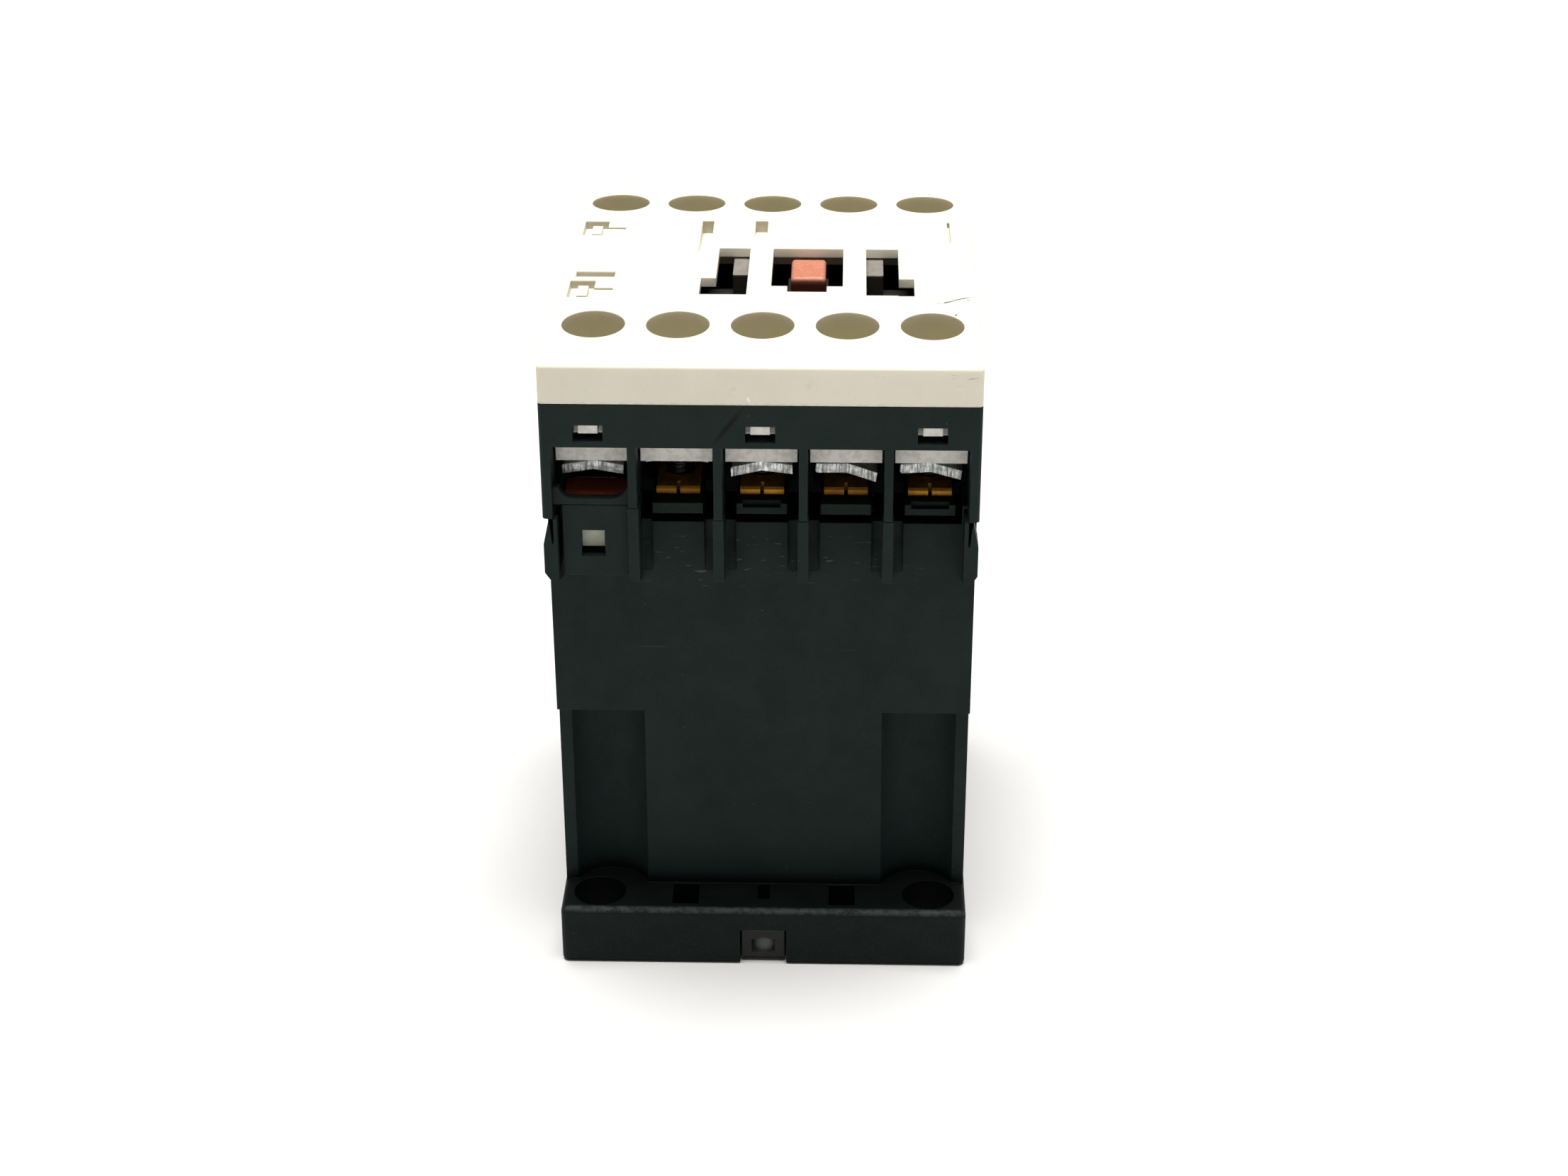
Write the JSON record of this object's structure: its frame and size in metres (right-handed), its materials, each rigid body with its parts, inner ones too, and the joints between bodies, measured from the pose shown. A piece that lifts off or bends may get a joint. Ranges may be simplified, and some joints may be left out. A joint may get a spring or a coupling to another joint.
{
  "type": "din rail contactor",
  "caption": "Block-shaped electromagnetic contactor for a 35 mm rail, with screw terminals at both ends, a pale front cover and a sprung contact carrier.",
  "frame": {"origin": "centre of the mounting plane, where the feet meet the panel", "axes": "+Z from the mounting plane to the front face, +X across the poles, +Y towards the upper terminals and -Y towards the lower terminals and the rail latch"},
  "size_m": [0.045, 0.0576, 0.073],
  "materials": {
    "housing_plastic": "moulded, slightly satin",
    "cover_plastic": "fine moulded texture",
    "carrier_plastic": "moulded",
    "post_plastic": "moulded",
    "indicator_plastic": "moulded, satin",
    "copper_strip": "stamped, tinned in places",
    "silver_tip": "brazed silver alloy",
    "zinc_steel": "bright zinc plated",
    "core_steel": "ground laminations",
    "copper_ring": "plain copper",
    "spring_steel": "drawn wire",
    "rubber_pad": "matt",
    "bobbin_plastic": "glass filled, greenish white",
    "winding_tape": "taped winding",
    "guide_plastic": "red-brown moulded",
    "latch_plastic": "glossy moulded"
  },
  "bodies": {
    "housing": {"base_housing": "housing_plastic", "terminal_housing": "housing_plastic", "front_cover": "cover_plastic", "fixed_core": "core_steel", "core_pin": "zinc_steel", "shading_rings": "copper_ring", "core_damping_pad": "rubber_pad", "coil_bobbin": "bobbin_plastic", "coil_winding": "winding_tape", "coil_terminal_lower": "zinc_steel", "coil_terminal_upper": "zinc_steel", "coil_wire_guide_lower": "guide_plastic", "coil_wire_guide_upper": "guide_plastic", "fixed_contact_tips": "silver_tip", "return_spring_left": "spring_steel", "return_spring_right": "spring_steel", "latch_spring": "spring_steel", "fixed_contact_lower_1": "copper_strip", "fixed_contact_upper_1": "copper_strip", "fixed_contact_lower_2": "copper_strip", "fixed_contact_upper_2": "copper_strip", "fixed_contact_lower_3": "copper_strip", "fixed_contact_upper_3": "copper_strip", "fixed_contact_lower_4": "copper_strip", "fixed_contact_upper_4": "copper_strip"},
    "carrier": {"contact_carrier": "carrier_plastic", "coupling_posts": "post_plastic", "position_indicator": "indicator_plastic", "armature": "core_steel", "armature_pin": "zinc_steel", "contact_spring_1": "spring_steel", "contact_spring_2": "spring_steel", "contact_spring_3": "spring_steel", "contact_spring_4": "spring_steel"},
    "bridge_1": {"moving_contact_1": "copper_strip"},
    "bridge_2": {"moving_contact_2": "copper_strip"},
    "bridge_3": {"moving_contact_3": "copper_strip"},
    "bridge_4": {"moving_contact_4": "copper_strip"},
    "clamp_01": {"terminal_clamp_01": "zinc_steel"},
    "screw_01": {"terminal_screw_01": "zinc_steel"},
    "clamp_02": {"terminal_clamp_02": "zinc_steel"},
    "screw_02": {"terminal_screw_02": "zinc_steel"},
    "clamp_03": {"terminal_clamp_03": "zinc_steel"},
    "screw_03": {"terminal_screw_03": "zinc_steel"},
    "clamp_04": {"terminal_clamp_04": "zinc_steel"},
    "screw_04": {"terminal_screw_04": "zinc_steel"},
    "clamp_05": {"terminal_clamp_05": "zinc_steel"},
    "screw_05": {"terminal_screw_05": "zinc_steel"},
    "clamp_06": {"terminal_clamp_06": "zinc_steel"},
    "screw_06": {"terminal_screw_06": "zinc_steel"},
    "clamp_07": {"terminal_clamp_07": "zinc_steel"},
    "screw_07": {"terminal_screw_07": "zinc_steel"},
    "clamp_08": {"terminal_clamp_08": "zinc_steel"},
    "screw_08": {"terminal_screw_08": "zinc_steel"},
    "clamp_09": {"terminal_clamp_09": "zinc_steel"},
    "screw_09": {"terminal_screw_09": "zinc_steel"},
    "clamp_10": {"terminal_clamp_10": "zinc_steel"},
    "screw_10": {"terminal_screw_10": "zinc_steel"},
    "latch": {"rail_latch": "latch_plastic"}
  },
  "joints": [
    {"name": "carrier_travel", "type": "slide", "parent": "housing", "child": "carrier", "axis": [0, 0, -1], "range_m": [0, 0.0045], "stiffness_N_per_m": 600, "springref_m": -0.004, "deforming": ["return_spring_left", "return_spring_right"]},
    {"name": "bridge_1_overtravel", "type": "slide", "parent": "carrier", "child": "bridge_1", "axis": [0, 0, 1], "range_m": [0, 0.0015], "deforming": ["contact_spring_1"]},
    {"name": "bridge_2_overtravel", "type": "slide", "parent": "carrier", "child": "bridge_2", "axis": [0, 0, 1], "range_m": [0, 0.0015], "deforming": ["contact_spring_2"]},
    {"name": "bridge_3_overtravel", "type": "slide", "parent": "carrier", "child": "bridge_3", "axis": [0, 0, 1], "range_m": [0, 0.0015], "deforming": ["contact_spring_3"]},
    {"name": "bridge_4_overtravel", "type": "slide", "parent": "carrier", "child": "bridge_4", "axis": [0, 0, 1], "range_m": [0, 0.0015], "deforming": ["contact_spring_4"]},
    {"name": "clamp_01_travel", "type": "slide", "parent": "housing", "child": "clamp_01", "axis": [0, 0, -1], "range_m": [0, 0.00185]},
    {"name": "screw_01_turn", "type": "hinge", "parent": "clamp_01", "child": "screw_01", "pos_m": [-0.0175, -0.01876, 0.058], "axis": [0, 0, -1], "range_deg": [0, 1332.5]},
    {"name": "clamp_02_travel", "type": "slide", "parent": "housing", "child": "clamp_02", "axis": [0, 0, -1], "range_m": [0, 0.00325]},
    {"name": "screw_02_turn", "type": "hinge", "parent": "clamp_02", "child": "screw_02", "pos_m": [-0.00875, -0.01876, 0.058], "axis": [0, 0, -1], "range_deg": [0, 2340.5]},
    {"name": "clamp_03_travel", "type": "slide", "parent": "housing", "child": "clamp_03", "axis": [0, 0, -1], "range_m": [0, 0.00173]},
    {"name": "screw_03_turn", "type": "hinge", "parent": "clamp_03", "child": "screw_03", "pos_m": [0, -0.01876, 0.058], "axis": [0, 0, -1], "range_deg": [0, 1246.1]},
    {"name": "clamp_04_travel", "type": "slide", "parent": "housing", "child": "clamp_04", "axis": [0, 0, -1], "range_m": [0, 0.00115]},
    {"name": "screw_04_turn", "type": "hinge", "parent": "clamp_04", "child": "screw_04", "pos_m": [0.00875, -0.01876, 0.058], "axis": [0, 0, -1], "range_deg": [0, 828.5]},
    {"name": "clamp_05_travel", "type": "slide", "parent": "housing", "child": "clamp_05", "axis": [0, 0, -1], "range_m": [0, 0.00145]},
    {"name": "screw_05_turn", "type": "hinge", "parent": "clamp_05", "child": "screw_05", "pos_m": [0.0175, -0.01876, 0.058], "axis": [0, 0, -1], "range_deg": [0, 1044.5]},
    {"name": "clamp_06_travel", "type": "slide", "parent": "housing", "child": "clamp_06", "axis": [0, 0, -1], "range_m": [0, 0.00185]},
    {"name": "screw_06_turn", "type": "hinge", "parent": "clamp_06", "child": "screw_06", "pos_m": [-0.0175, 0.01876, 0.058], "axis": [0, 0, -1], "range_deg": [0, 1332.5]},
    {"name": "clamp_07_travel", "type": "slide", "parent": "housing", "child": "clamp_07", "axis": [0, 0, -1], "range_m": [0, 0.00185]},
    {"name": "screw_07_turn", "type": "hinge", "parent": "clamp_07", "child": "screw_07", "pos_m": [-0.00875, 0.01876, 0.058], "axis": [0, 0, -1], "range_deg": [0, 1332.5]},
    {"name": "clamp_08_travel", "type": "slide", "parent": "housing", "child": "clamp_08", "axis": [0, 0, -1], "range_m": [0, 0.00185]},
    {"name": "screw_08_turn", "type": "hinge", "parent": "clamp_08", "child": "screw_08", "pos_m": [0, 0.01876, 0.058], "axis": [0, 0, -1], "range_deg": [0, 1332.5]},
    {"name": "clamp_09_travel", "type": "slide", "parent": "housing", "child": "clamp_09", "axis": [0, 0, -1], "range_m": [0, 0.00185]},
    {"name": "screw_09_turn", "type": "hinge", "parent": "clamp_09", "child": "screw_09", "pos_m": [0.00875, 0.01876, 0.058], "axis": [0, 0, -1], "range_deg": [0, 1332.5]},
    {"name": "clamp_10_travel", "type": "slide", "parent": "housing", "child": "clamp_10", "axis": [0, 0, -1], "range_m": [0, 0.00185]},
    {"name": "screw_10_turn", "type": "hinge", "parent": "clamp_10", "child": "screw_10", "pos_m": [0.0175, 0.01876, 0.058], "axis": [0, 0, -1], "range_deg": [0, 1332.5]},
    {"name": "rail_latch_slide", "type": "slide", "parent": "housing", "child": "latch", "axis": [0, -1, 0], "range_m": [0, 0.002], "stiffness_N_per_m": 1500, "springref_m": -0.0015, "deforming": ["latch_spring"]}
  ],
  "couplings": [
    {"joint": "bridge_1_overtravel", "follows": "carrier_travel", "ratio": 0.33333},
    {"joint": "bridge_2_overtravel", "follows": "carrier_travel", "ratio": 0.33333},
    {"joint": "bridge_3_overtravel", "follows": "carrier_travel", "ratio": 0.33333},
    {"joint": "bridge_4_overtravel", "follows": "carrier_travel", "ratio": 0.33333},
    {"joint": "screw_01_turn", "follows": "clamp_01_travel", "rad_per_m": 12566},
    {"joint": "screw_02_turn", "follows": "clamp_02_travel", "rad_per_m": 12566},
    {"joint": "screw_03_turn", "follows": "clamp_03_travel", "rad_per_m": 12566},
    {"joint": "screw_04_turn", "follows": "clamp_04_travel", "rad_per_m": 12566},
    {"joint": "screw_05_turn", "follows": "clamp_05_travel", "rad_per_m": 12566},
    {"joint": "screw_06_turn", "follows": "clamp_06_travel", "rad_per_m": 12566},
    {"joint": "screw_07_turn", "follows": "clamp_07_travel", "rad_per_m": 12566},
    {"joint": "screw_08_turn", "follows": "clamp_08_travel", "rad_per_m": 12566},
    {"joint": "screw_09_turn", "follows": "clamp_09_travel", "rad_per_m": 12566},
    {"joint": "screw_10_turn", "follows": "clamp_10_travel", "rad_per_m": 12566}
  ]
}
